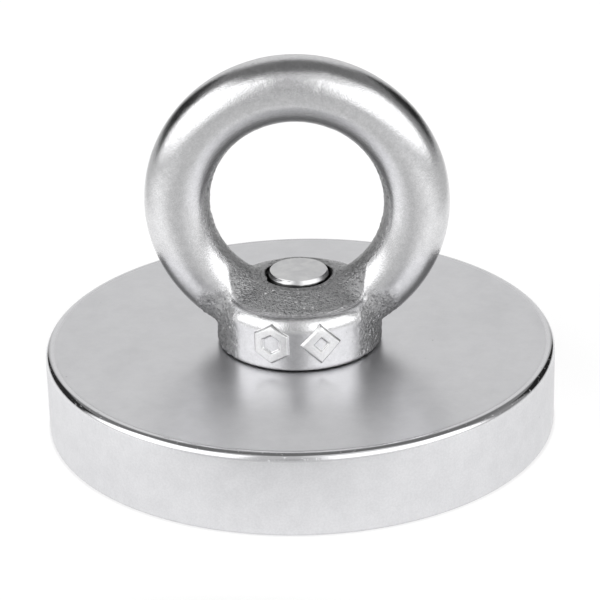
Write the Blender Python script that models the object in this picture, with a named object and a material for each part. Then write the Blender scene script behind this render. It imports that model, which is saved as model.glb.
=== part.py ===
"""A magnet fishing magnet: a nickel-plated pot magnet with a lifting eye nut.

The frame's origin is the centre of the pole face, on the plane that the pot's rim
rests on. +Z runs up through the eye, the eye's ring lies in the XZ plane, and its
hole is open along Y. Lengths are in metres, written as millimetres times MM.
"""
import math

import bmesh
import bpy

MM = 0.001

# Pot
POT_RADIUS = 30.0 * MM
POT_HEIGHT = 10.0 * MM
POT_WALL = 3.8 * MM
POT_FLOOR = 4.8 * MM
POT_TOP_EDGE_RADIUS = 0.75 * MM
POT_RIM_EDGE_RADIUS = 1.2 * MM
SCREW_HOLE_RADIUS = 4.5 * MM
SCREW_HOLE_CHAMFER = 0.3 * MM

# Fillings of the pot, from the wall inwards
GAP = 0.3 * MM
MAGNET_RECESS = 0.35 * MM
RESIN_RECESS = 0.5 * MM
OUTER_RESIN_WIDTH = 1.0 * MM
INNER_RESIN_WIDTH = 0.7 * MM
BOND_THICKNESS = 0.3 * MM
MAGNET_CHAMFER = 0.3 * MM
BUSH_RADIUS = 9.3 * MM

# M8 thread, right-handed, with a 60 degree profile
THREAD_RADIUS = 4.0 * MM
THREAD_PITCH = 1.25 * MM
THREAD_HALF_ANGLE = math.radians(30)
SCREW_ROOT_RADIUS = 3.25 * MM
SCREW_CREST_RADIUS = 3.94 * MM
NUT_CREST_RADIUS = 3.40 * MM
NUT_ROOT_RADIUS = 4.05 * MM
FLANK_CLEARANCE = 0.08 * MM
THREAD_STEPS = 24

# Countersunk screw
HEAD_RECESS = 0.8 * MM
HEAD_RADIUS = 8.0 * MM
HEAD_RIM = 0.3 * MM
HEAD_SEAT_GAP = 0.42 * MM
SOCKET_ACROSS_FLATS = 5.0 * MM
SOCKET_DEPTH = 2.8 * MM
NECK_LENGTH = 0.9 * MM
TIP_FLAT_RADIUS = 3.25 * MM
TIP_ABOVE_POT = 8.7 * MM

# Eye nut
RING_RADIUS = 13.82 * MM
RING_TUBE_RADIUS = 3.82 * MM
RING_CENTRE_ABOVE_POT = 17.28 * MM
COLLAR_RADIUS = 9.69 * MM
COLLAR_FOOT_EDGE_RADIUS = 1.0 * MM
COLLAR_SHOULDER_ABOVE_POT = 6.5 * MM
COLLAR_SHOULDER_RADIUS = 1.1 * MM
MOUTH_ABOVE_POT = 8.2 * MM
MOUTH_LAND_RADIUS = 4.9 * MM
BORE_CHAMFER_RADIUS = 4.4 * MM

# Generic casting marks on the front of the collar: a hexagon and a lozenge
MARK_PROUD = 0.3 * MM
MARK_DEPTH = 1.6 * MM
MARK_CENTRE_ABOVE_POT = 3.45 * MM
MARK_HALF_HEIGHT = 2.3 * MM
MARK_LINE_WIDTH = 0.9 * MM
MARK_OFFSET = 2.9 * MM

# How far a cutter runs past what it cuts, and how near two points are to be one
CUT_OVERRUN = 1.0 * MM
MERGE_DISTANCE = 0.001 * MM

ROUND_STEPS = 96
FILLING_STEPS = 48
COLLAR_STEPS = 64
RING_STEPS = 64
TUBE_STEPS = 24
SMOOTH_ANGLE = math.radians(35)

# Heights that follow from the dimensions above
FLOOR_Z = POT_HEIGHT - POT_FLOOR
TOP_Z = POT_HEIGHT
MOUTH_Z = TOP_Z + MOUTH_ABOVE_POT
TIP_Z = TOP_Z + TIP_ABOVE_POT
COLLAR_FOOT_Z = TOP_Z + GAP
RING_CENTRE_Z = TOP_Z + RING_CENTRE_ABOVE_POT
BOND_TOP_Z = FLOOR_Z - GAP
MAGNET_TOP_Z = BOND_TOP_Z - BOND_THICKNESS - GAP
HEAD_CONE_Z = HEAD_RECESS + HEAD_RIM
SHANK_Z = HEAD_CONE_Z + HEAD_RADIUS - THREAD_RADIUS
THREAD_START_Z = SHANK_Z + NECK_LENGTH

# Radii that follow from the dimensions above
POT_INNER_RADIUS = POT_RADIUS - POT_WALL
OUTER_RESIN_RADIUS = POT_INNER_RADIUS - GAP
MAGNET_RADIUS = OUTER_RESIN_RADIUS - OUTER_RESIN_WIDTH - GAP
INNER_RESIN_BORE = BUSH_RADIUS + GAP
INNER_RESIN_RADIUS = INNER_RESIN_BORE + INNER_RESIN_WIDTH
MAGNET_BORE = INNER_RESIN_RADIUS + GAP


def clear_scene():
    """Remove every object that the file starts with."""
    for item in list(bpy.data.objects):
        bpy.data.objects.remove(item, do_unlink=True)


def make_material(name, color, metallic, roughness):
    """A Principled material of one colour."""
    material = bpy.data.materials.new(name)
    material.use_nodes = True
    shader = material.node_tree.nodes["Principled BSDF"]
    shader.inputs["Base Color"].default_value = (*color, 1.0)
    shader.inputs["Metallic"].default_value = metallic
    shader.inputs["Roughness"].default_value = roughness
    return material


def add_object(name, bm, material):
    """Turn a bmesh into a smooth-shaded object whose faces point outwards."""
    bmesh.ops.recalc_face_normals(bm, faces=bm.faces[:])
    mesh = bpy.data.meshes.new(name)
    bm.to_mesh(mesh)
    bm.free()
    mesh.shade_smooth()
    mesh.set_sharp_from_angle(angle=SMOOTH_ANGLE)
    if material:
        mesh.materials.append(material)
    item = bpy.data.objects.new(name, mesh)
    bpy.context.scene.collection.objects.link(item)
    return item


def add_cutter(name, bm):
    """A shape that only cuts or joins another one."""
    item = add_object(name, bm, None)
    item.hide_render = True
    item.display_type = "WIRE"
    return item


def boolean(item, other, operation):
    """Cut or join an object with another, exactly."""
    modifier = item.modifiers.new(other.name, "BOOLEAN")
    modifier.operation = operation
    modifier.object = other
    modifier.solver = "EXACT"


def arc(center_r, center_z, radius, start, end, steps):
    """Points (r, z) of an arc, its angles in degrees."""
    points = []
    for step in range(steps + 1):
        angle = math.radians(start + (end - start) * step / steps)
        points.append((center_r + radius * math.cos(angle), center_z + radius * math.sin(angle)))
    return points


def turned(profile, steps, closed):
    """Turn a profile of (r, z) points around Z.

    A closed profile makes a ring. An open one runs from the lower end of the solid
    to its upper end, and a flat face closes it there.
    """
    bm = bmesh.new()
    columns = []
    for step in range(steps):
        angle = 2 * math.pi * step / steps
        c, s = math.cos(angle), math.sin(angle)
        columns.append([bm.verts.new((r * c, r * s, z)) for r, z in profile])
    spans = len(profile) if closed else len(profile) - 1
    for step in range(steps):
        here, there = columns[step], columns[(step + 1) % steps]
        for low in range(spans):
            high = (low + 1) % len(profile)
            bm.faces.new((here[low], there[low], there[high], here[high]))
    if not closed:
        bm.faces.new([column[0] for column in columns])
        bm.faces.new([column[-1] for column in columns])
    return bm


def thread_profile(inner, outer, growth):
    """The four (r, z) points of one thread ridge, its middle at z = 0.

    growth widens the ridge on each flank, for a tap, or narrows it, for a screw.
    """
    crest = THREAD_PITCH / 16 + (THREAD_RADIUS - outer) * math.tan(THREAD_HALF_ANGLE) + growth
    foot = THREAD_PITCH / 16 + (THREAD_RADIUS - inner) * math.tan(THREAD_HALF_ANGLE) + growth
    return [(inner, -foot), (outer, -crest), (outer, crest), (inner, foot)]


def threaded(ridge, start_z, end_z, before, trim):
    """A threaded rod with its axis on Z, right-handed.

    The helix climbs one pitch a turn between start_z and end_z. before holds the
    (r, z) points of the plain stretch below it. trim(radius, z) gives the radius that
    is left of a point after its end has been chamfered.
    """
    root = ridge[0][0]
    turns = math.ceil((end_z - start_z) / THREAD_PITCH) + 2
    bm = bmesh.new()
    columns = []
    for step in range(THREAD_STEPS + 1):
        share = step / THREAD_STEPS
        angle = 2 * math.pi * share
        c, s = math.cos(angle), math.sin(angle)
        points = list(before)
        for turn in range(-1, turns):
            for radius, rise in ridge:
                z = start_z + (turn + share) * THREAD_PITCH + rise
                if z <= start_z or z >= end_z:
                    radius = root
                z = min(max(z, start_z), end_z)
                points.append((trim(radius, z), z))
        columns.append([bm.verts.new((r * c, r * s, z)) for r, z in points])
    for here, there in zip(columns, columns[1:]):
        for low in range(len(here) - 1):
            bm.faces.new((here[low], there[low], there[low + 1], here[low + 1]))
    bmesh.ops.remove_doubles(bm, verts=bm.verts[:], dist=MERGE_DISTANCE)
    bmesh.ops.holes_fill(bm, edges=[edge for edge in bm.edges if edge.is_boundary])
    return bm


def prism(outline, start, end):
    """A prism with its outline in (x, z), running along Y from start to end."""
    bm = bmesh.new()
    front = [bm.verts.new((x, start, z)) for x, z in outline]
    back = [bm.verts.new((x, end, z)) for x, z in outline]
    count = len(outline)
    for index in range(count):
        after = (index + 1) % count
        bm.faces.new((front[index], front[after], back[after], back[index]))
    bm.faces.new(front)
    bm.faces.new(back)
    return bm


def polygon(center_x, center_z, radius, sides):
    """The (x, z) corners of a regular polygon that stands on one corner."""
    corners = []
    for side in range(sides):
        angle = 2 * math.pi * side / sides + math.pi / 2
        corners.append((center_x + radius * math.cos(angle), center_z + radius * math.sin(angle)))
    return corners


def make_cup(material):
    """The pot: a deep-drawn steel cup, open downwards, with the screw's hole in its floor."""
    rim_center = (POT_RADIUS - POT_RIM_EDGE_RADIUS, POT_RIM_EDGE_RADIUS)
    top_center = (POT_RADIUS - POT_TOP_EDGE_RADIUS, TOP_Z - POT_TOP_EDGE_RADIUS)
    profile = [(POT_INNER_RADIUS, 0.0)]
    profile += arc(*rim_center, POT_RIM_EDGE_RADIUS, -90, 0, 4)
    profile += arc(*top_center, POT_TOP_EDGE_RADIUS, 0, 90, 4)
    profile += [
        (SCREW_HOLE_RADIUS + SCREW_HOLE_CHAMFER, TOP_Z),
        (SCREW_HOLE_RADIUS, TOP_Z - SCREW_HOLE_CHAMFER),
        (SCREW_HOLE_RADIUS, FLOOR_Z),
        (POT_INNER_RADIUS, FLOOR_Z),
    ]
    return add_object("steel_cup", turned(profile, ROUND_STEPS, True), material)


def make_ring(name, bore, radius, low, high, chamfer, material):
    """A flat ring between two heights, its lower edges chamfered."""
    profile = [(bore, high)]
    if chamfer:
        profile += [
            (bore, low + chamfer),
            (bore + chamfer, low),
            (radius - chamfer, low),
            (radius, low + chamfer),
        ]
    else:
        profile += [(bore, low), (radius, low)]
    profile += [(radius, high)]
    return add_object(name, turned(profile, FILLING_STEPS, True), material)


def make_bush(material):
    """The seat of the screw's head, which carries the pull to the pot's floor."""
    mouth = HEAD_RADIUS + HEAD_SEAT_GAP
    cone_end_z = HEAD_CONE_Z + mouth - SCREW_HOLE_RADIUS
    top_z = FLOOR_Z - GAP
    profile = [(BUSH_RADIUS, MAGNET_RECESS), (BUSH_RADIUS, top_z)]
    if cone_end_z > top_z:
        profile += [(mouth - (top_z - HEAD_CONE_Z), top_z)]
    else:
        profile += [(SCREW_HOLE_RADIUS, top_z), (SCREW_HOLE_RADIUS, cone_end_z)]
    profile += [(mouth, HEAD_CONE_Z), (mouth, MAGNET_RECESS)]
    return add_object("centre_bush", turned(profile, FILLING_STEPS, True), material)


def make_screw(material):
    """The M8 countersunk screw, its head down in the bush and its tip in the eye nut."""
    ridge = thread_profile(SCREW_ROOT_RADIUS, SCREW_CREST_RADIUS, -FLANK_CLEARANCE)
    before = [
        (HEAD_RADIUS, HEAD_RECESS),
        (HEAD_RADIUS, HEAD_CONE_Z),
        (THREAD_RADIUS, SHANK_Z),
        (SCREW_ROOT_RADIUS, SHANK_Z + 0.5 * NECK_LENGTH),
    ]

    def chamfer_tip(radius, z):
        return min(radius, TIP_FLAT_RADIUS + TIP_Z - z)

    bm = threaded(ridge, THREAD_START_Z, TIP_Z, before, chamfer_tip)
    screw = add_object("countersunk_screw", bm, material)
    corner_radius = SOCKET_ACROSS_FLATS / math.sqrt(3)
    hexagon = [(corner_radius, -CUT_OVERRUN), (corner_radius, HEAD_RECESS + SOCKET_DEPTH)]
    socket = add_cutter("socket_cutter", turned(hexagon, 6, False))
    boolean(screw, socket, "DIFFERENCE")
    return screw


def make_marks():
    """The raised marks on the collar's front: a hexagon outline and a lozenge outline."""
    front = -(COLLAR_RADIUS + CUT_OVERRUN)
    back = -(COLLAR_RADIUS - MARK_DEPTH)
    center_z = TOP_Z + MARK_CENTRE_ABOVE_POT
    marks = []
    for name, sides, offset in (("hexagon_mark", 6, -MARK_OFFSET), ("lozenge_mark", 4, MARK_OFFSET)):
        inner_size = MARK_HALF_HEIGHT - MARK_LINE_WIDTH / math.cos(math.pi / sides)
        mark = add_cutter(name, prism(polygon(offset, center_z, MARK_HALF_HEIGHT, sides), front, back))
        well = prism(polygon(offset, center_z, inner_size, sides), front - CUT_OVERRUN, back + CUT_OVERRUN)
        boolean(mark, add_cutter(name + "_well", well), "DIFFERENCE")
        skin = [(COLLAR_RADIUS + MARK_PROUD, TOP_Z), (COLLAR_RADIUS + MARK_PROUD, MOUTH_Z)]
        boolean(mark, add_cutter(name + "_skin", turned(skin, ROUND_STEPS, False)), "INTERSECT")
        marks.append(mark)
    return marks


def make_eye(material):
    """The eye nut: a ring on a round collar, with a tapped bore and two raised marks."""
    shoulder_center = (
        COLLAR_RADIUS - COLLAR_SHOULDER_RADIUS,
        TOP_Z + COLLAR_SHOULDER_ABOVE_POT - COLLAR_SHOULDER_RADIUS,
    )
    ring_end_z = COLLAR_FOOT_Z + COLLAR_FOOT_EDGE_RADIUS
    profile = arc(COLLAR_RADIUS - COLLAR_FOOT_EDGE_RADIUS, ring_end_z, COLLAR_FOOT_EDGE_RADIUS, -90, 0, 3)
    profile += arc(*shoulder_center, COLLAR_SHOULDER_RADIUS, 0, 75, 4)
    profile += [(MOUTH_LAND_RADIUS, MOUTH_Z)]
    eye = add_object("eye_nut", turned(profile, COLLAR_STEPS, False), material)

    bm = turned(arc(RING_RADIUS, 0.0, RING_TUBE_RADIUS, 0, 360 - 360 / TUBE_STEPS, TUBE_STEPS - 1),
                RING_STEPS, True)
    for vert in bm.verts:
        # The ring stands up, and ends inside the collar instead of below it.
        x, y, z = vert.co
        vert.co = (x, -z, max(RING_CENTRE_Z + y, ring_end_z))
    boolean(eye, add_cutter("ring_shape", bm), "UNION")
    for mark in make_marks():
        boolean(eye, mark, "UNION")

    def chamfer_bore(radius, z):
        return max(radius, BORE_CHAMFER_RADIUS - abs(z - COLLAR_FOOT_Z))

    ridge = thread_profile(NUT_CREST_RADIUS, NUT_ROOT_RADIUS, 0.0)
    start_z = THREAD_START_Z + 2 * THREAD_PITCH
    bm = threaded(ridge, start_z, MOUTH_Z + 2 * THREAD_PITCH, [], chamfer_bore)
    boolean(eye, add_cutter("tap", bm), "DIFFERENCE")
    return eye


def main():
    clear_scene()
    nickel = make_material("nickel_plated_steel", (0.72, 0.72, 0.73), 1.0, 0.28)
    cast = make_material("cast_stainless_steel", (0.66, 0.66, 0.67), 1.0, 0.24)
    magnet = make_material("nickel_plated_magnet", (0.64, 0.64, 0.66), 1.0, 0.22)
    zinc = make_material("zinc_plated_screw", (0.60, 0.60, 0.60), 1.0, 0.35)
    brass = make_material("brass_bush", (0.72, 0.55, 0.28), 1.0, 0.30)
    resin = make_material("black_resin", (0.02, 0.02, 0.022), 0.0, 0.45)
    glue = make_material("clear_adhesive", (0.55, 0.50, 0.38), 0.0, 0.50)

    make_cup(nickel)
    make_ring("ring_magnet", MAGNET_BORE, MAGNET_RADIUS, MAGNET_RECESS, MAGNET_TOP_Z,
              MAGNET_CHAMFER, magnet)
    make_ring("bond_layer", MAGNET_BORE, MAGNET_RADIUS, BOND_TOP_Z - BOND_THICKNESS, BOND_TOP_Z,
              0.0, glue)
    make_ring("outer_resin_ring", OUTER_RESIN_RADIUS - OUTER_RESIN_WIDTH, OUTER_RESIN_RADIUS,
              RESIN_RECESS, BOND_TOP_Z, 0.0, resin)
    make_ring("inner_resin_ring", INNER_RESIN_BORE, INNER_RESIN_RADIUS, RESIN_RECESS, BOND_TOP_Z,
              0.0, resin)
    make_bush(brass)
    make_screw(zinc)
    make_eye(cast)


main()
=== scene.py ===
import math
from itertools import product

import bmesh
import bpy
import numpy as np
from mathutils import Matrix, Vector


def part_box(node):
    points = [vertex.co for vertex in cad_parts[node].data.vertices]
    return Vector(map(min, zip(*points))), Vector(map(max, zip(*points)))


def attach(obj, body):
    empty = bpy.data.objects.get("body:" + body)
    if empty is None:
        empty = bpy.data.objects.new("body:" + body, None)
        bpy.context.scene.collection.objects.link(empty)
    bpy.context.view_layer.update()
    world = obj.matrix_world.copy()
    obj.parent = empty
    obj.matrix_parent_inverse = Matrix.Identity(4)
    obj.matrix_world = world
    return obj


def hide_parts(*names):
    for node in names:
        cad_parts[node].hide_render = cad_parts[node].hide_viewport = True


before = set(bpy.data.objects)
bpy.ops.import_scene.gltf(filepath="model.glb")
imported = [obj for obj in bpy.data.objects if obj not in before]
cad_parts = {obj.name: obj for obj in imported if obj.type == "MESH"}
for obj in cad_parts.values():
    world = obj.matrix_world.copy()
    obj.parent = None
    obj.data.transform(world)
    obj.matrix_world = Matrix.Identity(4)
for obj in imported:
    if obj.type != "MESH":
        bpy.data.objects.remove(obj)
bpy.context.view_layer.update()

MM = 0.001

# ---------------------------------------------------------------------------
# Sizes read from the frame, in millimetres
# ---------------------------------------------------------------------------


def box_mm(node):
    """A CAD node's lowest and highest corner, in millimetres."""
    low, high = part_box(node)
    return [value / MM for value in low], [value / MM for value in high]


POT_LOW, POT_HIGH = box_mm("steel_cup")
EYE_LOW, EYE_HIGH = box_mm("eye_nut")
SCREW_LOW, SCREW_HIGH = box_mm("countersunk_screw")
MAGNET_LOW, MAGNET_HIGH = box_mm("ring_magnet")
BUSH_LOW, BUSH_HIGH = box_mm("centre_bush")
OUTER_RESIN_LOW, OUTER_RESIN_HIGH = box_mm("outer_resin_ring")
INNER_RESIN_LOW, INNER_RESIN_HIGH = box_mm("inner_resin_ring")

POT_RADIUS = POT_HIGH[0]
POT_TOP = POT_HIGH[2]
TUBE_RADIUS = 3.82
RING_RADIUS = EYE_HIGH[0] - TUBE_RADIUS
RING_HEIGHT = EYE_HIGH[2] - EYE_HIGH[0]
FOOT_HEIGHT = EYE_LOW[2]
COLLAR_RADIUS = EYE_HIGH[1]
SHOULDER_HEIGHT = POT_TOP + 6.5
MOUTH_HEIGHT = POT_TOP + 8.2
TIP_HEIGHT = SCREW_HIGH[2]
MOUTH_LAND = 4.9

# M8 thread: one ridge of the screw has its middle at RIDGE_HEIGHT in the direction of +X
PITCH = 1.25
RIDGE_HEIGHT = SCREW_LOW[2] + 5.2
SCREW_ROOT = 3.36
SCREW_CREST = 3.92
NUT_CREST = 3.50
NUT_ROOT = 4.08

# ---------------------------------------------------------------------------
# Meshes
# ---------------------------------------------------------------------------


def add_piece(name, mesh, body, slot, material, *nodes):
    """A finished piece: smooth, riding on its body, and standing for its CAD nodes."""
    mesh.materials.append(material)
    mesh.shade_smooth()
    piece = bpy.data.objects.new(name, mesh)
    bpy.context.scene.collection.objects.link(piece)
    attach(piece, body)
    if nodes:
        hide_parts(*nodes)
    return piece


def mesh_from(name, points, faces):
    """A mesh from points in millimetres and faces of point numbers."""
    mesh = bpy.data.meshes.new(name)
    mesh.from_pydata((np.asarray(points) * MM).tolist(), [], [list(map(int, face)) for face in faces])
    bm = bmesh.new()
    bm.from_mesh(mesh)
    bmesh.ops.recalc_face_normals(bm, faces=bm.faces)
    bm.to_mesh(mesh)
    bm.free()
    return mesh


def places(mesh):
    """A mesh's points in millimetres."""
    flat = np.empty(len(mesh.vertices) * 3)
    mesh.vertices.foreach_get("co", flat)
    return flat.reshape(-1, 3) / MM


def set_places(mesh, points):
    """Move a mesh's points, given in millimetres."""
    mesh.vertices.foreach_set("co", (points * MM).ravel())
    mesh.update()


def set_values(mesh, name, values):
    """Store one value for each point of a mesh, for its material to read."""
    mesh.attributes.new(name, "FLOAT", "POINT").data.foreach_set("value", values)


def refine(mesh, zone):
    """Split each face whose middle lies in a zone into four."""
    bm = bmesh.new()
    bm.from_mesh(mesh)
    middles = np.array([face.calc_center_median() for face in bm.faces]) / MM
    edges = set()
    for face, chosen in zip(bm.faces, zone(middles)):
        if chosen:
            edges.update(face.edges)
    bmesh.ops.subdivide_edges(bm, edges=sorted(edges, key=lambda edge: edge.index), cuts=1,
                              use_grid_fill=True)
    bm.to_mesh(mesh)
    bm.free()


def noise(points, size, seed):
    """Smooth random values from -1 to 1, in lumps about size millimetres across."""
    side = 64
    table = np.random.default_rng(seed).uniform(-1, 1, (side, side, side))
    scaled = points / size
    base = np.floor(scaled).astype(int)
    part = scaled - base
    part = part * part * (3 - 2 * part)
    total = np.zeros(len(points))
    for corner in product((0, 1), repeat=3):
        weight = np.prod(np.where(corner, part, 1 - part), axis=1)
        cell = (base + corner) % side
        total += weight * table[cell[:, 0], cell[:, 1], cell[:, 2]]
    return total


def step_between(value, low, high):
    """0 below low, 1 above high, and a smooth rise between them."""
    share = np.clip((value - low) / (high - low), 0, 1)
    return share * share * (3 - 2 * share)


def smooth_min(a, b, blend):
    """The smaller of two distances, with a fillet where they meet."""
    overlap = np.maximum(blend - np.abs(a - b), 0) / blend
    return np.minimum(a, b) - overlap * overlap * blend / 4


def rounded_max(a, b, radius):
    """The larger of two distances, with a rounded edge where they meet."""
    outside = np.hypot(np.maximum(a + radius, 0), np.maximum(b + radius, 0))
    return np.minimum(np.maximum(a, b), -radius) + outside


def surface_net(field, low, high, step):
    """The surface field = 0 inside a box, as quads between one point in each cell it crosses."""
    axes = [np.arange(start, end + step, step) for start, end in zip(low, high)]
    grid = np.stack(np.meshgrid(*axes, indexing="ij"), -1)
    shape = grid.shape[:3]
    values = np.concatenate([field(part.reshape(-1, 3)) for part in grid]).reshape(shape)
    inside = values < 0
    corners = list(product((0, 1), repeat=3))

    def at(array, offset, cells):
        return array[cells[:, 0] + offset[0], cells[:, 1] + offset[1], cells[:, 2] + offset[2]]

    count = sum(inside[x:shape[0] - 1 + x, y:shape[1] - 1 + y, z:shape[2] - 1 + z].astype(int)
                for x, y, z in corners)
    cells = np.argwhere((count > 0) & (count < 8))
    number = np.full(count.shape, -1)
    number[tuple(cells.T)] = np.arange(len(cells))

    total, crossings = np.zeros((len(cells), 3)), np.zeros(len(cells))
    for axis in range(3):
        for start in corners:
            if start[axis]:
                continue
            end = tuple(1 if index == axis else value for index, value in enumerate(start))
            near, far = at(values, start, cells), at(values, end, cells)
            crossed = (near < 0) != (far < 0)
            share = np.where(crossed, near / np.where(crossed, near - far, 1), 0)
            place = np.array(start) + np.outer(share, np.array(end) - np.array(start))
            total += place * crossed[:, None]
            crossings += crossed
    points = np.array(low) + (cells + total / crossings[:, None]) * step

    faces = []
    for axis in range(3):
        ahead = [slice(None)] * 3
        behind = [slice(None)] * 3
        ahead[axis], behind[axis] = slice(1, None), slice(None, -1)
        changed = np.argwhere(inside[tuple(behind)] != inside[tuple(ahead)])
        u, v = (axis + 1) % 3, (axis + 2) % 3
        changed = changed[(changed[:, u] > 0) & (changed[:, v] > 0)]
        around = []
        for du, dv in ((1, 1), (0, 1), (0, 0), (1, 0)):
            cell = changed.copy()
            cell[:, u] -= du
            cell[:, v] -= dv
            around.append(number[tuple(cell.T)])
        quads = np.stack(around, 1)
        flip = ~inside[tuple(changed.T)]
        quads[flip] = quads[flip][:, ::-1]
        faces.append(quads)
    return points, np.concatenate(faces)


def slope(field, points, reach=0.01):
    """The gradient of a field at points."""
    columns = []
    for axis in range(3):
        offset = np.zeros(3)
        offset[axis] = reach
        columns.append((field(points + offset) - field(points - offset)) / (2 * reach))
    return np.stack(columns, 1)


def settle(field, points, rounds):
    """Move points onto the surface field = 0."""
    for _ in range(rounds):
        direction = slope(field, points)
        size = np.maximum((direction ** 2).sum(1), 0.05)
        step = field(points) / size
        points = points - direction * np.clip(step, -0.1, 0.1)[:, None]
    return points


def lofted(rings, closed=False):
    """Points and faces of a skin through rings of points; closed joins the last to the first."""
    rings = np.asarray(rings)
    rows, steps = rings.shape[:2]
    here = np.arange(steps)
    there = (here + 1) % steps
    faces = []
    for row in range(rows if closed else rows - 1):
        low, high = row * steps, (row + 1) % rows * steps
        faces += np.stack([low + here, low + there, high + there, high + here], -1).tolist()
    if not closed:
        faces.append(here[::-1].tolist())
        faces.append(((rows - 1) * steps + here).tolist())
    return rings.reshape(-1, 3), faces


def circle(radius, height, steps):
    """A ring of points round Z; radius and height are numbers, or one number for each point."""
    angles = 2 * np.pi * np.arange(steps) / steps
    height = np.broadcast_to(height, steps)
    return np.stack([radius * np.cos(angles), radius * np.sin(angles), height], -1)


def turned(profile, steps):
    """Points and faces of a ring turned round Z from a closed profile of (radius, height) points."""
    return lofted([circle(radius, height, steps) for radius, height in profile], closed=True)


def arc(center_r, center_z, radius, start, end, steps):
    """Points (r, z) of an arc, its angles in degrees."""
    angles = np.radians(np.linspace(start, end, steps + 1))
    return list(zip(center_r + radius * np.cos(angles), center_z + radius * np.sin(angles)))


def line(start, end, steps):
    """Points from start to end, without the end."""
    shares = np.arange(steps) / steps
    return [(start[0] + (end[0] - start[0]) * s, start[1] + (end[1] - start[1]) * s) for s in shares]


# ---------------------------------------------------------------------------
# Camera and studio
# ---------------------------------------------------------------------------

CAMERA_DISTANCE = 0.31188
CAMERA_ELEVATION = math.radians(25.361)
CAMERA_AZIMUTH = 0.049
CAMERA_ROLL = math.radians(-1.354)
CAMERA_LENS = 158.56
CAMERA_SHIFT = 0.0611


def make_camera():
    """A long lens that looks down on the middle of the pot's top."""
    target = Vector((0.0, 0.0, POT_TOP * MM))
    level = math.cos(CAMERA_ELEVATION)
    back = Vector((
        math.sin(CAMERA_AZIMUTH) * level,
        -math.cos(CAMERA_AZIMUTH) * level,
        math.sin(CAMERA_ELEVATION),
    ))
    data = bpy.data.cameras.new("camera")
    data.lens = CAMERA_LENS
    data.shift_y = CAMERA_SHIFT
    camera = bpy.data.objects.new("camera", data)
    camera.location = target + back * CAMERA_DISTANCE
    look = (-back).to_track_quat("-Z", "Y").to_matrix()
    camera.rotation_euler = (look @ Matrix.Rotation(CAMERA_ROLL, 3, "Z")).to_euler()
    bpy.context.scene.collection.objects.link(camera)
    bpy.context.scene.camera = camera


def node_math(tree, operation, first, second=None):
    """A Math node; its inputs are sockets or numbers."""
    node = tree.nodes.new("ShaderNodeMath")
    node.operation = operation
    for socket, value in zip(node.inputs, (first, second)):
        if value is None:
            continue
        if isinstance(value, (int, float)):
            socket.default_value = value
        else:
            tree.links.new(value, socket)
    return node.outputs[0]


def smooth_range(tree, value, start, end, low=0.0, high=1.0):
    """value taken smoothly from start..end to low..high."""
    node = tree.nodes.new("ShaderNodeMapRange")
    node.interpolation_type = "SMOOTHSTEP"
    tree.links.new(value, node.inputs["Value"])
    node.inputs["From Min"].default_value = start
    node.inputs["From Max"].default_value = end
    node.inputs["To Min"].default_value = low
    node.inputs["To Max"].default_value = high
    return node.outputs["Result"]


# Patches of light and dark round the object, painted one over another: left, right, low
# and high edge in degrees (0 is in front, positive to the right), half the soft edge, brightness
STUDIO = (
    (158, 212, -20, 44, 9, 0.84),
    (-212, -152, -20, 46, 9, 0.84),
    (-58, 80, 44, 72, 7, 0.66),
    (4, 66, 44, 74, 6, 0.90),
    (-34, 22, -20, 46, 6, 0.64),
    (-8, 2, 10, 25, 4, 0.45),
    (-99, -24, 4, 53, 6, 1.85),
    (13, 88, 4, 51, 6, 1.85),
    (-147, -103, 0, 34, 2, 0.03),
    (116, 153, 0, 33, 2, 0.02),
)
WALL_BRIGHTNESS = 0.34
CEILING_BRIGHTNESS = 0.20


def make_world():
    """A grey studio with two large soft boxes in front, a pale wall behind and two black flags."""
    world = bpy.data.worlds.new("studio")
    world.use_nodes = True
    bpy.context.scene.world = world
    tree = world.node_tree
    place = tree.nodes.new("ShaderNodeTexCoord").outputs["Generated"]
    split = tree.nodes.new("ShaderNodeSeparateXYZ")
    tree.links.new(place, split.inputs[0])
    x, y, z = split.outputs
    turn = node_math(tree, "ARCTAN2", x, node_math(tree, "MULTIPLY", y, -1.0))
    azimuth = node_math(tree, "DEGREES", turn)
    elevation = node_math(tree, "DEGREES", node_math(tree, "ARCSINE", z))

    def between(value, low, high, soft):
        """1 between two edges and 0 outside them."""
        rise = smooth_range(tree, value, low - soft, low + soft)
        fall = smooth_range(tree, value, high - soft, high + soft, 1.0, 0.0)
        return node_math(tree, "MULTIPLY", rise, fall)

    light = smooth_range(tree, elevation, 20.0, 55.0, WALL_BRIGHTNESS, CEILING_BRIGHTNESS)
    for left, right, low, high, soft, brightness in STUDIO:
        paint = tree.nodes.new("ShaderNodeMix")
        shape = node_math(tree, "MULTIPLY", between(azimuth, left, right, soft),
                          between(elevation, low, high, soft))
        tree.links.new(shape, paint.inputs["Factor"])
        tree.links.new(light, paint.inputs["A"])
        paint.inputs["B"].default_value = brightness
        light = paint.outputs["Result"]
    tree.links.new(light, tree.nodes["Background"].inputs["Color"])


def distance_from_zero(tree, first, second):
    """The length of a flat vector, from its two parts."""
    squares = [node_math(tree, "MULTIPLY", value, value) for value in (first, second)]
    return node_math(tree, "SQRT", node_math(tree, "ADD", *squares))


# The table's bright middle, in metres, and the painted pools of light under the two soft boxes
TABLE_MIDDLE = ((-0.078, 0.078), (-0.048, 0.20))
TABLE_SOFT_EDGE = 0.015
TABLE_HALF_SIZE = 3.0
FLOOR_GAP = 0.00002
TABLE_GLOW = 0.78
TABLE_EDGE_GLOW = 0.40
PAINTED_LIGHT_POOLS = ((-0.15, -0.055, 0.15, 0.65), (0.12, -0.11, 0.15, 0.60))
# Painted contact shadow round the pot's foot: its width in metres and the share of glow left at the rim
CONTACT_SHADOW_WIDTH = 0.0003
CONTACT_SHADOW_SHARE = 0.82


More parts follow.
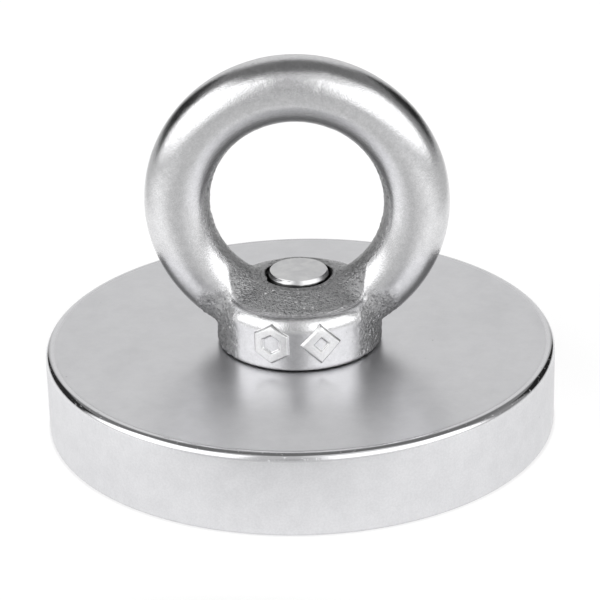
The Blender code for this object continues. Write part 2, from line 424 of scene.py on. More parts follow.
def make_floor():
    """A pale table that glows as an acrylic sheet lit from below does, brightest under the object, with
    painted pools of light and a painted contact shadow round the pot's foot.
    """
    mesh = bpy.data.meshes.new("floor")
    size = TABLE_HALF_SIZE
    corners = [(-size, -size, 0), (size, -size, 0), (size, size, 0), (-size, size, 0)]
    mesh.from_pydata(corners, [], [(0, 1, 2, 3)])
    material = bpy.data.materials.new("pale_table")
    material.use_nodes = True
    tree = material.node_tree
    shader = tree.nodes["Principled BSDF"]
    shader.inputs["Base Color"].default_value = (0.35, 0.35, 0.35, 1.0)
    shader.inputs["Roughness"].default_value = 0.9
    shader.inputs["Specular IOR Level"].default_value = 0.0
    shader.inputs["Emission Color"].default_value = (1.0, 1.0, 1.0, 1.0)
    split = tree.nodes.new("ShaderNodeSeparateXYZ")
    tree.links.new(tree.nodes.new("ShaderNodeTexCoord").outputs["Object"], split.inputs[0])
    glow = None
    for value, (low, high) in zip(split.outputs, TABLE_MIDDLE):
        rise = smooth_range(tree, value, low - TABLE_SOFT_EDGE, low + TABLE_SOFT_EDGE)
        fall = smooth_range(tree, value, high - TABLE_SOFT_EDGE, high + TABLE_SOFT_EDGE, 1.0, 0.0)
        band = node_math(tree, "MULTIPLY", rise, fall)
        glow = node_math(tree, "MULTIPLY", glow, band) if glow else band
    glow = smooth_range(tree, glow, 0.0, 1.0, TABLE_EDGE_GLOW, TABLE_GLOW)
    # Painted pools of light: the glow is raised in two round pools where the soft boxes would shine on the
    # table
    for x, y, reach, strength in PAINTED_LIGHT_POOLS:
        across = node_math(tree, "SUBTRACT", split.outputs[0], x)
        along = node_math(tree, "SUBTRACT", split.outputs[1], y)
        away = distance_from_zero(tree, across, along)
        glow = node_math(tree, "ADD", glow, smooth_range(tree, away, 0.0, reach, strength, 0.0))
    # Painted contact shadow: the glow dims in a thin ring just outside the pot's foot
    from_axis = distance_from_zero(tree, split.outputs[0], split.outputs[1])
    rim = POT_RADIUS * MM
    contact_shadow = smooth_range(tree, from_axis, rim, rim + CONTACT_SHADOW_WIDTH, CONTACT_SHADOW_SHARE, 1.0)
    tree.links.new(node_math(tree, "MULTIPLY", glow, contact_shadow), shader.inputs["Emission Strength"])
    one_sided = tree.nodes.new("ShaderNodeMixShader")
    tree.links.new(tree.nodes.new("ShaderNodeNewGeometry").outputs["Backfacing"], one_sided.inputs[0])
    tree.links.new(shader.outputs[0], one_sided.inputs[1])
    tree.links.new(tree.nodes.new("ShaderNodeBsdfTransparent").outputs[0], one_sided.inputs[2])
    tree.links.new(one_sided.outputs[0], tree.nodes["Material Output"].inputs["Surface"])
    material.cycles.emission_sampling = "NONE"
    mesh.materials.append(material)
    floor = bpy.data.objects.new("floor", mesh)
    bpy.context.scene.collection.objects.link(floor)
    floor.location.z = POT_LOW[2] * MM - FLOOR_GAP


# ---------------------------------------------------------------------------
# Materials
# ---------------------------------------------------------------------------


class Finish:
    """A node material under construction, with short names for its usual nodes."""

    def __init__(self, name, color, metallic, roughness):
        self.material = bpy.data.materials.new(name)
        self.material.use_nodes = True
        self.tree = self.material.node_tree
        self.shader = self.tree.nodes["Principled BSDF"]
        self.shader.inputs["Base Color"].default_value = (*color, 1.0)
        self.shader.inputs["Metallic"].default_value = metallic
        self.shader.inputs["Roughness"].default_value = roughness
        self.place = self.tree.nodes.new("ShaderNodeTexCoord").outputs["Object"]

    def link(self, source, target):
        self.tree.links.new(source, target)

    def noise(self, size, detail=3.0, rough=0.5, stretch=None):
        """Noise from 0 to 1 with lumps about size millimetres across."""
        node = self.tree.nodes.new("ShaderNodeTexNoise")
        node.inputs["Scale"].default_value = 1.0 / (size * MM)
        node.inputs["Detail"].default_value = detail
        node.inputs["Roughness"].default_value = rough
        place = self.place
        if stretch:
            mapping = self.tree.nodes.new("ShaderNodeMapping")
            mapping.inputs["Scale"].default_value = stretch
            self.link(place, mapping.inputs["Vector"])
            place = mapping.outputs["Vector"]
        self.link(place, node.inputs["Vector"])
        return node.outputs["Fac"]

    def spots(self, size):
        """Distance to the nearest of scattered points, from 0 at each point."""
        node = self.tree.nodes.new("ShaderNodeTexVoronoi")
        node.inputs["Scale"].default_value = 1.0 / (size * MM)
        self.link(self.place, node.inputs["Vector"])
        return node.outputs["Distance"]

    def rings(self, spacing):
        """Fine rings round Z, as a lathe leaves them, spacing millimetres apart."""
        node = self.tree.nodes.new("ShaderNodeTexWave")
        node.wave_type = "RINGS"
        node.rings_direction = "Z"
        node.inputs["Scale"].default_value = math.pi / (10 * spacing * MM)
        node.inputs["Distortion"].default_value = 0.4
        self.link(self.place, node.inputs["Vector"])
        return node.outputs["Fac"]

    def attribute(self, name):
        """A value stored on the mesh's points."""
        node = self.tree.nodes.new("ShaderNodeAttribute")
        node.attribute_name = name
        return node.outputs["Fac"]

    def range(self, value, start, end, low=0.0, high=1.0):
        return smooth_range(self.tree, value, start, end, low, high)

    def math(self, operation, first, second=None):
        return node_math(self.tree, operation, first, second)

    def times(self, first, second):
        return self.math("MULTIPLY", first, second)

    def plus(self, first, second):
        return self.math("ADD", first, second)

    def clouds(self, size, detail=3.0, rough=0.5, low=0.0, high=1.0):
        """Noise spread softly from low to high, in lumps about size millimetres across."""
        return self.range(self.noise(size, detail, rough), 0.3, 0.7, low, high)

    def tint(self, value, low_color, high_color):
        """The colour between two colours as value goes from 0 to 1."""
        node = self.tree.nodes.new("ShaderNodeMix")
        node.data_type = "RGBA"
        self.link(value, node.inputs["Factor"])
        node.inputs["A"].default_value = (*low_color, 1.0)
        node.inputs["B"].default_value = (*high_color, 1.0)
        self.link(node.outputs["Result"], self.shader.inputs["Base Color"])

    def brighten(self, share, color):
        """Mix another colour in, by a share from 0 to 1; further calls add to it."""
        target = self.shader.inputs["Base Color"]
        node = self.tree.nodes.new("ShaderNodeMix")
        node.data_type = "RGBA"
        self.link(share, node.inputs["Factor"])
        self.link(target.links[0].from_socket, node.inputs["A"])
        node.inputs["B"].default_value = (*color, 1.0)
        self.link(node.outputs["Result"], target)

    def darken(self, share):
        """Take a share, from 0 to 1, off the colour."""
        self.brighten(share, (0.0, 0.0, 0.0))

    def roughness(self, value):
        self.link(value, self.shader.inputs["Roughness"])

    def bump(self, height, depth, strength=1.0):
        """Raise the surface by height times depth millimetres; further calls add to it."""
        node = self.tree.nodes.new("ShaderNodeBump")
        node.inputs["Distance"].default_value = depth * MM
        node.inputs["Strength"].default_value = strength
        self.link(height, node.inputs["Height"])
        normal = self.shader.inputs["Normal"]
        if normal.links:
            self.link(normal.links[0].from_socket, node.inputs["Normal"])
        self.link(node.outputs["Normal"], normal)


def nickel_finish():
    """Satin nickel plate: fine on the flat top, coarser on the drawn wall, bright on the edge."""
    finish = Finish("nickel_plate", (0.70, 0.70, 0.71), 1.0, 0.28)
    wall = finish.attribute("wall")
    face = finish.attribute("face")
    edge = finish.attribute("edge")
    clouds = finish.clouds(9.0, 5.0, 0.6, -0.02, 0.02)
    smears = finish.range(finish.noise(5.0, 3.0, 0.5, (1.0, 0.25, 1.0)), 0.5, 0.75, 0.0, 0.04)
    base = finish.plus(finish.range(wall, 0.0, 1.0, 0.305, 0.40), finish.plus(clouds, smears))
    scuffs = finish.times(finish.range(finish.noise(0.8, 6.0, 0.7), 0.45, 0.7, 0.0, 0.2), face)
    nicks = finish.range(finish.noise(0.45, 4.0, 0.7), 0.62, 0.70)
    polish = finish.times(edge, finish.range(nicks, 0.0, 1.0, -0.20, 0.05))
    finish.roughness(finish.plus(finish.plus(base, scuffs), polish))
    finish.tint(finish.clouds(2.2, 6.0, 0.6), (0.685, 0.685, 0.70), (0.725, 0.725, 0.74))
    specks = finish.range(finish.spots(3.4), 0.02, 0.045, 1.0, 0.0)
    finish.darken(finish.times(specks, 0.3))
    grain = finish.range(finish.noise(0.22, 2.0), 0.25, 0.75)
    finish.darken(finish.times(grain, finish.range(wall, 0.0, 1.0, 0.02, 0.07)))
    finish.bump(finish.times(grain, wall), 0.0015)
    finish.bump(finish.times(finish.noise(0.6, 4.0, 0.6, (1.0, 1.0, 0.3)), wall), 0.008)
    finish.bump(finish.times(nicks, edge), -0.01)
    return finish.material


def cast_finish():
    """Polished cast stainless steel, with dull pebbly skin where polishing doesn't reach."""
    finish = Finish("cast_stainless", (0.70, 0.70, 0.71), 1.0, 0.2)
    skin = finish.attribute("cast_skin")
    mark = finish.attribute("mark_face")
    patches = finish.range(finish.noise(2.4, 2.0), 0.45, 0.6)
    specks = finish.times(finish.range(finish.spots(0.9), 0.10, 0.2, 1.0, 0.0), patches)
    specks = finish.times(specks, skin)
    dull = finish.plus(finish.times(skin, 0.15), finish.times(mark, 0.22))
    dull = finish.plus(dull, finish.times(specks, 0.6))
    finish.roughness(finish.plus(finish.clouds(1.8, 5.0, 0.6, 0.15, 0.22), dull))
    finish.tint(finish.clouds(0.7, 5.0, 0.65), (0.67, 0.67, 0.68), (0.74, 0.74, 0.75))
    clusters = finish.range(finish.noise(3.0, 3.0), 0.5, 0.65)
    pits = finish.times(finish.range(finish.spots(0.8), 0.04, 0.10, 1.0, 0.0), clusters)
    finish.darken(finish.times(pits, 0.35))
    finish.darken(finish.range(skin, 0.0, 1.0, 0.0, 0.36))
    finish.brighten(specks, (0.9, 0.9, 0.9))
    finish.brighten(finish.times(mark, 0.8), (0.92, 0.92, 0.92))
    pores = finish.range(finish.noise(0.3, 2.0, 0.6), 0.36, 0.48, 1.0, 0.0)
    finish.darken(finish.times(finish.times(pores, skin), 0.45))
    # Painted shade: the ragged line round the bore's mouth, where the gap to the screw lies in shade, goes
    # near black
    finish.darken(finish.times(finish.attribute("painted_shade"), 0.94))
    flecks = finish.clouds(0.17, 2.0, 0.7)
    finish.darken(finish.times(flecks, 0.12))
    finish.bump(flecks, 0.006)
    finish.bump(finish.noise(0.45, 3.0, 0.6), 0.006)
    finish.bump(pits, -0.02)
    finish.bump(finish.times(finish.noise(0.17, 2.0, 0.6), skin), 0.14)
    finish.bump(finish.times(finish.noise(0.2, 2.0, 0.6), mark), 0.04)
    return finish.material


def screw_finish():
    """Satin zinc plate, with painted shade in a band just below the tip, where the screw stands in the
    nut's mouth.
    """
    finish = Finish("zinc_plate", (0.64, 0.64, 0.65), 1.0, 0.3)
    finish.roughness(finish.clouds(1.0, 5.0, 0.6, 0.285, 0.36))
    finish.tint(finish.clouds(1.4, 5.0, 0.6), (0.60, 0.60, 0.61), (0.70, 0.70, 0.70))
    # Painted shade: the band below the tip goes near black
    finish.darken(finish.times(finish.attribute("painted_shade"), 0.94))
    finish.bump(finish.noise(0.2, 3.0), 0.005)
    finish.bump(finish.noise(1.2, 4.0), 0.012)
    return finish.material


def magnet_finish():
    """Bright nickel on the magnet, clouded by handling and finely scratched."""
    finish = Finish("magnet_nickel", (0.70, 0.70, 0.72), 1.0, 0.16)
    clouds = finish.range(finish.noise(5.0, 6.0, 0.65), 0.35, 0.7, 0.10, 0.26)
    finish.roughness(clouds)
    finish.tint(finish.clouds(3.0, 6.0, 0.6), (0.64, 0.64, 0.665), (0.74, 0.74, 0.755))
    for stretch in ((1.0, 0.03, 1.0), (0.05, 1.0, 1.0)):
        scratches = finish.range(finish.noise(0.5, 2.0, 0.5, stretch), 0.66, 0.72)
        finish.bump(scratches, -0.004)
    finish.bump(finish.noise(1.5, 3.0), 0.008)
    return finish.material


def resin_finish(name):
    """Black potting resin with an uneven gloss and dust in it."""
    finish = Finish(name + "_resin", (0.018, 0.018, 0.02), 0.0, 0.35)
    finish.roughness(finish.clouds(1.5, 5.0, 0.6, 0.29, 0.5))
    dust = finish.range(finish.noise(0.6, 5.0, 0.7), 0.5, 0.75)
    finish.tint(dust, (0.014, 0.014, 0.016), (0.05, 0.05, 0.05))
    finish.bump(finish.noise(0.5, 4.0), 0.03)
    return finish.material


def brass_finish():
    """Turned brass: rings from the tool, and a patchy tarnish."""
    finish = Finish("turned_brass", (0.72, 0.54, 0.26), 1.0, 0.25)
    finish.roughness(finish.clouds(1.2, 5.0, 0.6, 0.29, 0.38))
    finish.tint(finish.clouds(1.8, 5.0, 0.6), (0.60, 0.43, 0.19), (0.76, 0.58, 0.29))
    finish.bump(finish.rings(0.14), 0.006)
    finish.bump(finish.noise(0.3, 3.0), 0.004)
    return finish.material


def adhesive_finish():
    """Cured adhesive, cloudy and uneven."""
    finish = Finish("cured_adhesive", (0.55, 0.5, 0.38), 0.0, 0.5)
    finish.tint(finish.clouds(2.0, 4.0), (0.5, 0.45, 0.33), (0.6, 0.55, 0.43))
    finish.roughness(finish.clouds(1.0, 4.0, low=0.35, high=0.6))
    finish.bump(finish.noise(0.9, 4.0), 0.03)
    return finish.material


# ---------------------------------------------------------------------------
# Eye nut
# ---------------------------------------------------------------------------

GRID_STEP = 0.25
LEG_BLEND = 1.1
LEG_END_HEIGHT = FOOT_HEIGHT + 2.7
LEG_END_ROUNDING = 0.8
SHOULDER_ROUNDING = 1.1
FOOT_ROUNDING = 0.45
FOOT_GAP = 0.08
GROOVE_RADIUS = 8.35
GROOVE_WIDTH = 0.15
GROOVE_DEPTH = 0.10
MOUTH_DEPTH = 0.6
MOUTH_RADIUS = 3.88
MARK_HEIGHT = POT_TOP + 3.45
MARK_HALF_HEIGHT = 2.3
MARK_LINE = 0.5
MARK_OFFSET = 2.9
MARK_PROUD = 0.3
MARK_SLOPE = 0.12
MARK_ZONE = (5.9, 2.7)
MARK_ZONE_FRONT = -6.5

# Where the cast skin is left: where it starts and where it is whole, on the collar's ends, on its
# sloping top, and on the lower inside of the ring
SKIN_END_ACROSS = (6.4, 8.4)
SKIN_END_HEIGHT = (SHOULDER_HEIGHT + 2.0, SHOULDER_HEIGHT)
SKIN_END_INSIDE = (8.6, 9.2)
SKIN_END_OUTSIDE = (12.5, 11.0)
SKIN_TOP_RADIUS = (GROOVE_RADIUS + 0.1, GROOVE_RADIUS - 0.1)
SKIN_TOP_LOW = (SHOULDER_HEIGHT - 0.9, SHOULDER_HEIGHT - 0.3)
SKIN_TOP_HIGH = (MOUTH_HEIGHT + 3.0, MOUTH_HEIGHT + 1.0)
SKIN_HOLE_DEPTH = (1.0, 0.3)
SKIN_HOLE_HEIGHT = (42.0, 30.0)
SKIN_HOLE_SHARE = 0.8
COARSE_RADIUS = (9.0, 9.4)
PEBBLE_HEIGHT = 0.06
SKIN_SINK = 0.045
DENT_DEPTH = 0.012


def thread_share(points):
    """How far each point is from the middle of the screw's ridge, in pitches from 0 to 0.5."""
    x, y, z = points.T
    turn = np.arctan2(y, x) / (2 * np.pi)
    return np.abs(((z - RIDGE_HEIGHT) / PITCH - turn + 0.5) % 1.0 - 0.5)


def mark_outline(points):
    """Distance in the collar's unrolled face to the strokes of a hexagon and a lozenge."""
    across = np.arctan2(points[:, 0], -points[:, 1]) * COLLAR_RADIUS
    up = points[:, 2] - MARK_HEIGHT
    best = np.full(len(points), 9.0)
    for sides, offset in ((6, -MARK_OFFSET), (4, MARK_OFFSET)):
        reach = MARK_HALF_HEIGHT * math.cos(math.pi / sides)
        edge = np.full(len(points), -9.0)
        for side in range(sides):
            angle = 2 * math.pi * (side + 0.5) / sides + math.pi / 2
            edge = np.maximum(edge, (across - offset) * math.cos(angle) + up * math.sin(angle) - reach)
        best = np.minimum(best, np.abs(edge + MARK_LINE) - MARK_LINE)
    return best


def mark_cover(points):
    """1 on the raised marks, 0 beside them, with a slope between."""
    front = step_between(-points[:, 1], 4.0, 6.0)
    return front * step_between(mark_outline(points), MARK_SLOPE, -MARK_SLOPE)


def eye_field(points):
    """Distance to the eye nut's surface, negative inside."""
    x, y, z = points.T
    radius = np.hypot(x, y)
    ring = np.hypot(np.hypot(x, z - RING_HEIGHT) - RING_RADIUS, y) - TUBE_RADIUS
    ring = rounded_max(ring, LEG_END_HEIGHT - z, LEG_END_ROUNDING)

    fall = (MOUTH_HEIGHT - SHOULDER_HEIGHT) / (COLLAR_RADIUS - SHOULDER_ROUNDING - MOUTH_LAND)
    cone_height = MOUTH_HEIGHT - fall * np.maximum(radius - MOUTH_LAND, 0)
    cone_height -= GROOVE_DEPTH * np.exp(-((radius - GROOVE_RADIUS) / GROOVE_WIDTH) ** 2)
    top = (z - cone_height) / math.hypot(1, fall)
    collar = rounded_max(radius - COLLAR_RADIUS, top, SHOULDER_ROUNDING)
    collar = rounded_max(collar, POT_TOP + FOOT_GAP - z, FOOT_ROUNDING)
    body = smooth_min(ring, collar, LEG_BLEND) - MARK_PROUD * mark_cover(points) * (radius > 8.0)

    ridge = np.clip((thread_share(points) - 0.11) / 0.29, 0, 1)
    bore = radius - NUT_ROOT + (NUT_ROOT - NUT_CREST) * ridge
    countersink = radius - MOUTH_RADIUS + np.abs(z - MOUTH_HEIGHT) * 0.6
    foot_countersink = radius - NUT_ROOT - 0.3 + np.abs(z - FOOT_HEIGHT)
    bore = np.minimum(np.minimum(bore, countersink), foot_countersink)
    bore += 0.05 * noise(points, 0.6, 11) * (z > MOUTH_HEIGHT - MOUTH_DEPTH)
    bore = np.maximum(bore, z - MOUTH_HEIGHT - 1.5)
    return np.maximum(body, -bore)


def skin_at(points):
    """How far the cast skin is left at each point: 1 untouched, 0 polished away."""
    x, y, z = points.T
    radius = np.hypot(x, y)
    wander = 0.5 * noise(points, 1.6, 21)
    side = step_between(np.abs(x) + wander, *SKIN_END_ACROSS) * step_between(z, *SKIN_END_HEIGHT)
    side *= step_between(radius, *SKIN_END_INSIDE) * step_between(radius, *SKIN_END_OUTSIDE)
    top = step_between(radius + 0.2 * wander, *SKIN_TOP_RADIUS)
    top *= step_between(z, *SKIN_TOP_LOW) * step_between(z, *SKIN_TOP_HIGH)
    depth = np.hypot(x, z - RING_HEIGHT) + 0.25 * wander - (RING_RADIUS - TUBE_RADIUS)
    hole = step_between(depth, *SKIN_HOLE_DEPTH) * step_between(z, *SKIN_HOLE_HEIGHT)
    return np.clip(np.maximum(np.maximum(side, top), hole * SKIN_HOLE_SHARE), 0, 1)


def near_detail(points):
    """Where the eye nut's mesh needs points close together."""
    x, y, z = points.T
    radius = np.hypot(x, y)
    mouth = (radius < 6.5) & (np.abs(z - MOUTH_HEIGHT) < 1.2)
    groove = (np.abs(radius - GROOVE_RADIUS) < 0.5) & (z > SHOULDER_HEIGHT - 0.5) & (z < MOUTH_HEIGHT)
    return (skin_at(points) > 0.35) | mouth | groove | near_marks(points)


def near_marks(points):
    """Where the eye nut's mesh needs its points closest together."""
    x, y, z = points.T
    half_width, half_height = MARK_ZONE
    face = (y < MARK_ZONE_FRONT) & (np.hypot(x, y) > 9.0)
    return face & (np.abs(x) < half_width) & (np.abs(z - MARK_HEIGHT) < half_height)


def near_mouth(points):
    """Where the edge of the bore's mouth needs its points closest together."""
    x, y, z = points.T
    return (np.hypot(x, y) < 4.6) & (np.abs(z - MOUTH_HEIGHT) < 0.5)


def mouth_painted_shade(points):
    """1 on the ragged line of painted shade round the bore's mouth, where the gap to the screw lies in
    shade, 0 away from it.
    """
    x, y, z = points.T
    radius = np.hypot(x, y) + 0.10 * noise(points, 0.5, 31)
    ring = step_between(radius, MOUTH_RADIUS + 0.16, MOUTH_RADIUS + 0.02)
    ring *= step_between(z, MOUTH_HEIGHT - 1.4, MOUTH_HEIGHT - 0.8)
    # The ring stands right above the bore, so the line has an upper end too.
    return ring * step_between(z, MOUTH_HEIGHT + 0.8, MOUTH_HEIGHT + 0.4)


def make_eye():
    """The eye nut: one casting with its ring, collar, marks and tapped bore."""
    margin = 3 * GRID_STEP
    low = [EYE_LOW[0] - margin, EYE_LOW[1] - margin, POT_TOP - margin]
    high = [value + margin for value in EYE_HIGH]
    mesh = mesh_from("eye", *surface_net(eye_field, low, high, GRID_STEP))
    refine(mesh, near_detail)
    refine(mesh, near_marks)
    refine(mesh, near_mouth)
    points = settle(eye_field, places(mesh), 5)
    skin = skin_at(points)
    normals = slope(eye_field, points)
    normals /= np.maximum(np.linalg.norm(normals, axis=1), 1e-6)[:, None]
    radius = np.hypot(points[:, 0], points[:, 1])
    pebbles = noise(points, 0.30, 3) * 0.6 + noise(points, 0.20, 4) * 0.4
    pebbles *= PEBBLE_HEIGHT * (1 + step_between(radius, *COARSE_RADIUS))
    dents = noise(points, 4.0, 5) * DENT_DEPTH - DENT_DEPTH
    outside_bore = radius > NUT_ROOT + 0.4
    points += normals * ((skin * (pebbles - SKIN_SINK) + dents) * outside_bore)[:, None]
    set_places(mesh, points)
    set_values(mesh, "cast_skin", skin)
    set_values(mesh, "mark_face", mark_cover(points))
    # Painted shade round the bore's mouth, stored on the points for the material
    set_values(mesh, "painted_shade", mouth_painted_shade(points))
    return add_piece("eye_ring", mesh, "eye", "cast_stainless_steel", cast_finish(), "eye_nut")


# ---------------------------------------------------------------------------
# Countersunk screw
# ---------------------------------------------------------------------------

SCREW_STEPS = 96
SOCKET_HALF_WIDTH = 2.5
SOCKET_DEPTH = 2.8
SOCKET_MOUTH = 3.0
HEAD_EDGE = 0.3
HEAD_ROUNDING = 0.15
SHANK_RADIUS = 4.0
NECK_LENGTH = 0.45
THREAD_ROW = 0.07
THREAD_RUN_IN = 0.9
TIP_FLAT = 3.34
TIP_SLOPE = 0.5


def hexagon_radius(half_width, steps):
    """The radius of a hexagon in each direction, its corners on the steps of a circle."""
    turn = (360.0 * np.arange(steps) / steps) % 60.0 - 30.0
    return half_width / np.cos(np.radians(turn))


def make_screw():
    """An M8 countersunk screw: hexagon socket below, thread above."""
    head, radius = SCREW_LOW[2], SCREW_HIGH[0]
    hexagon = hexagon_radius(SOCKET_HALF_WIDTH, SCREW_STEPS)
    floor = head + SOCKET_DEPTH
    rings = [circle(0.2, floor + 1.1, SCREW_STEPS), circle(2.3, floor, SCREW_STEPS)]
    rings += [circle(hexagon, height, SCREW_STEPS) for height in (floor, head + 0.45)]
    rings += [circle(np.maximum(hexagon, SOCKET_MOUTH - 0.08), head + 0.08, SCREW_STEPS)]
    profile = line((SOCKET_MOUTH + 0.05, head), (radius - HEAD_ROUNDING, head), 12)
    profile += arc(radius - HEAD_ROUNDING, head + HEAD_ROUNDING, HEAD_ROUNDING, -90, 0, 5)
    cone_end = head + HEAD_EDGE + radius - SHANK_RADIUS
    profile += line((radius, head + HEAD_EDGE), (SHANK_RADIUS, cone_end), 12)
    profile += [(SHANK_RADIUS, cone_end), (SCREW_ROOT, cone_end + NECK_LENGTH)]
    rings += [circle(r, z, SCREW_STEPS) for r, z in profile]
    start = RIDGE_HEIGHT - 0.1
    for height in np.arange(start, TIP_HEIGHT, THREAD_ROW):
        share = thread_share(circle(1.0, height, SCREW_STEPS))
        ridge = 1 - np.clip((share - 0.03) / 0.31, 0, 1)
        ridge = ridge * step_between(height, start, start + THREAD_RUN_IN)
        crest = SCREW_ROOT + (SCREW_CREST - SCREW_ROOT) * (ridge - 0.12 * ridge ** 4)
        chamfer = TIP_FLAT + (TIP_HEIGHT - height) * TIP_SLOPE
        rings.append(circle(np.minimum(crest, chamfer), height, SCREW_STEPS))
    rings.append(circle(SCREW_ROOT - 0.05, TIP_HEIGHT, SCREW_STEPS))
    rings.append(circle(SCREW_ROOT - 0.25, TIP_HEIGHT, SCREW_STEPS))
    mesh = mesh_from("screw", *lofted(rings))
    points = places(mesh)
    # Painted shade: a ragged band about 0.45 to 1.2 mm below the tip, in the gap to the nut's mouth
    below_tip = TIP_HEIGHT - points[:, 2] + 0.06 * noise(points, 0.5, 32)
    set_values(mesh, "painted_shade", step_between(below_tip, 0.40, 0.50) * step_between(below_tip, 1.4, 1.0))
    piece = add_piece("screw_shell", mesh, "screw", "zinc_plated_steel", screw_finish(),
                      "countersunk_screw")
    mesh.set_sharp_from_angle(angle=math.radians(40))
    return piece


# ---------------------------------------------------------------------------
# Pot and its fillings
# ---------------------------------------------------------------------------

POT_STEPS = 256
FILLING_STEPS = 192
POT_INNER_RADIUS = 26.2
POT_FLOOR = 5.2
HOLE_RADIUS = 4.5
RIM_ROUNDING = 0.4
EDGE_ROUNDING = 0.85
EDGE_LINE_DEPTH = 0.03
EDGE_LINE_START = 0.05
EDGE_LINE_STEP = 0.07
HOLE_CHAMFER = 0.3
FILLING_GAP = 0.3
OUTER_RESIN_WIDTH = 1.0
INNER_RESIN_WIDTH = 0.7
MAGNET_EDGE = 0.35
MAGNET_CHAMFER = 0.2
BUSH_EDGE = 0.12
HEAD_SEAT_GAP = 0.42


def make_pot():
    """The nickel-plated cup, a fine line turned just inside its upper edge."""
    rim, edge = RIM_ROUNDING, EDGE_ROUNDING
    profile = line((POT_INNER_RADIUS + 0.2, 0.0), (POT_RADIUS - rim, 0.0), 5)
    profile += arc(POT_RADIUS - rim, rim, rim, -90, 0, 10)
    profile += line((POT_RADIUS, rim + 0.5), (POT_RADIUS, POT_TOP - edge - 0.5), 12)
    profile += arc(POT_RADIUS - edge, POT_TOP - edge, edge, 0, 90, 10)
    for step in range(5):
        offset = EDGE_LINE_START + EDGE_LINE_STEP * step
        depth = EDGE_LINE_DEPTH * (1 - abs(step - 2) / 2)
        profile.append((POT_RADIUS - edge - offset, POT_TOP - depth))
    profile += line((POT_RADIUS - edge - 0.5, POT_TOP), (HOLE_RADIUS + HOLE_CHAMFER, POT_TOP), 40)
    profile += [(HOLE_RADIUS + HOLE_CHAMFER, POT_TOP), (HOLE_RADIUS, POT_TOP - HOLE_CHAMFER)]
    profile += [(HOLE_RADIUS, POT_FLOOR), (POT_INNER_RADIUS, POT_FLOOR), (POT_INNER_RADIUS, 0.2)]
    mesh = mesh_from("pot", *turned(profile, POT_STEPS))
    points = places(mesh)
    x, y, height = points.T
    radius = np.hypot(x, y)
    waves = noise(points, 9.0, 31) * 0.012 + noise(points, 4.0, 32) * 0.003 - 0.015
    outer = step_between(radius, POT_RADIUS - 0.4, POT_RADIUS - 0.1)
    flat = step_between(height, POT_TOP - 0.3, POT_TOP - 0.05) * step_between(radius, HOLE_RADIUS + 1, 12.0)
    points[:, 0] += x / radius * waves * outer
    points[:, 1] += y / radius * waves * outer
    points[:, 2] += waves * 0.7 * flat
    set_places(mesh, points)
    set_values(mesh, "wall", outer * step_between(height, POT_TOP - 0.2, POT_TOP - edge))
    set_values(mesh, "face", step_between(height, 0.25, 0.05))
    fillet = step_between(height, POT_TOP - edge * 1.1, POT_TOP - edge * 0.8)
    set_values(mesh, "edge", fillet * step_between(radius, POT_RADIUS - edge * 1.3, POT_RADIUS - edge))
    piece = add_piece("pot_shell", mesh, "pot", "nickel_plated_steel", nickel_finish(), "steel_cup")
    mesh.set_sharp_from_angle(angle=math.radians(35))
    return piece


def make_magnet():
    """The ring magnet, its edges tumbled round."""
    low, high, radius = MAGNET_LOW[2], MAGNET_HIGH[2], MAGNET_HIGH[0]
    bore = INNER_RESIN_HIGH[0] + FILLING_GAP
    edge, chamfer = MAGNET_EDGE, MAGNET_CHAMFER
    profile = arc(bore + edge, low + edge, edge, 180, 270, 6)
    profile += line((bore + 1.0, low), (radius - edge - 0.5, low), 12)
    profile += arc(radius - edge, low + edge, edge, 270, 360, 6)
    profile += [(radius, high - chamfer), (radius - chamfer, high)]
    profile += [(bore + chamfer, high), (bore, high - chamfer)]
    mesh = mesh_from("magnet", *turned(profile, FILLING_STEPS))
    return add_piece("ring_magnet_shell", mesh, "pot", "nickel_plated_magnet", magnet_finish(),
                     "ring_magnet")


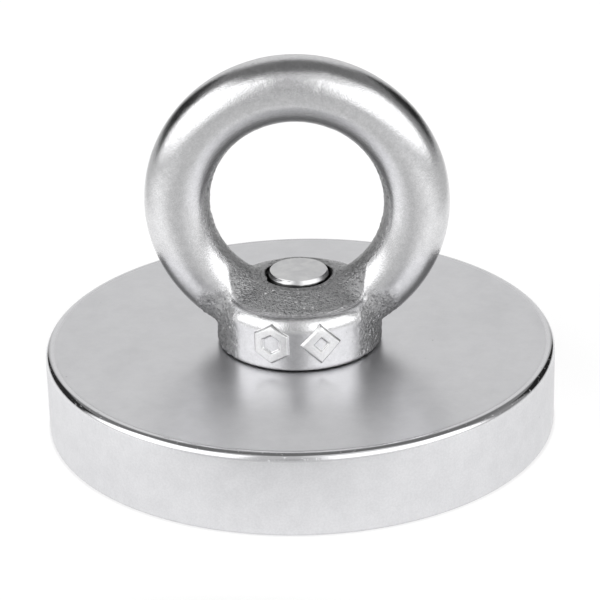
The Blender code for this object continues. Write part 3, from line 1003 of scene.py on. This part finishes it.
def make_resin(name, low, high, width, node):
    """A ring of potting resin, its surface drawn up at both walls and uneven between."""
    outer = high[0]
    inner = outer - width
    count = 12
    surface = [(inner + width * step / count, low[2]) for step in range(count + 1)]
    profile = surface + [(outer, high[2]), (inner, high[2])]
    mesh = mesh_from(name, *turned(profile, FILLING_STEPS * 2))
    points = places(mesh)
    radius = np.hypot(points[:, 0], points[:, 1])
    across = np.clip((radius - inner) / width * 2 - 1, -1, 1)
    sag = 0.16 * (1 - across ** 2)
    sag += 0.05 * (noise(points, 2.2, 41) + 1) + 0.02 * (noise(points, 0.5, 42) + 1)
    bubbles = np.clip(noise(points, 0.7, 43) - 0.45, 0, 1) * 0.5
    points[:, 2] += (sag + bubbles) * step_between(points[:, 2], low[2] + 0.5, low[2] + 0.1)
    set_places(mesh, points)
    return add_piece(name, mesh, "pot", "black_resin", resin_finish(name), node)


def make_bush():
    """The brass seat of the screw's head."""
    low, high, radius = BUSH_LOW[2], BUSH_HIGH[2], BUSH_HIGH[0]
    mouth = SCREW_HIGH[0] + HEAD_SEAT_GAP
    cone_start = SCREW_LOW[2] + HEAD_EDGE
    edge = BUSH_EDGE
    profile = arc(radius - edge, low + edge, edge, 270, 360, 4)
    profile += [(radius, high), (mouth - (high - cone_start), high)]
    profile += line((mouth - (high - cone_start), high), (mouth, cone_start), 8)[1:]
    profile += [(mouth, cone_start)]
    profile += arc(mouth + edge, low + edge, edge, 180, 270, 4)
    mesh = mesh_from("bush", *turned(profile, FILLING_STEPS))
    piece = add_piece("brass_bush", mesh, "pot", "brass", brass_finish(), "centre_bush")
    mesh.set_sharp_from_angle(angle=math.radians(35))
    return piece


def dress_bond():
    """Material for the adhesive, the one CAD node that stays."""
    mesh = bpy.data.objects["bond_layer"].data
    mesh.materials.clear()
    mesh.materials.append(adhesive_finish())


def main():
    bpy.context.scene.view_settings.view_transform = "Standard"
    make_camera()
    make_world()
    make_floor()
    make_eye()
    make_screw()
    make_pot()
    make_magnet()
    make_resin("outer_resin", OUTER_RESIN_LOW, OUTER_RESIN_HIGH, OUTER_RESIN_WIDTH, "outer_resin_ring")
    make_resin("inner_resin", INNER_RESIN_LOW, INNER_RESIN_HIGH, INNER_RESIN_WIDTH, "inner_resin_ring")
    make_bush()
    dress_bond()


main()
